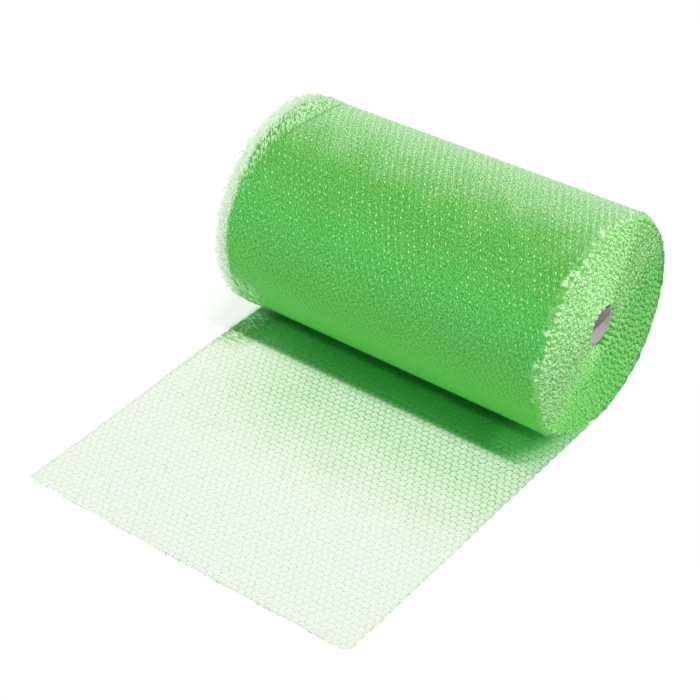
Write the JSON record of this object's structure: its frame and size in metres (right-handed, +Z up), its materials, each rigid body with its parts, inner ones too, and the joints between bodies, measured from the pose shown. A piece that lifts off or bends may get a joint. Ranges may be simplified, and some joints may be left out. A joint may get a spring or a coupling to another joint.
{
  "type": "bubble film roll",
  "caption": "Roll of green air-bubble cushioning film on a cardboard tube, lying on its side with its free end unrolled flat, for wrapping goods.",
  "frame": {"origin": "on the floor, below the roll's axis, at the middle of the web's width", "axes": "+X along the roll's axis, -Y the way the free end lies, +Z up from the floor"},
  "size_m": [0.5, 0.68, 0.2982],
  "materials": {
    "bubble_film": "green translucent polyethylene film with air bubbles",
    "core_board": "matt grey-brown spirally wound cardboard"
  },
  "bodies": {
    "root": {"bubble_web": "bubble_film", "core_tube": "core_board"}
  },
  "joints": []
}
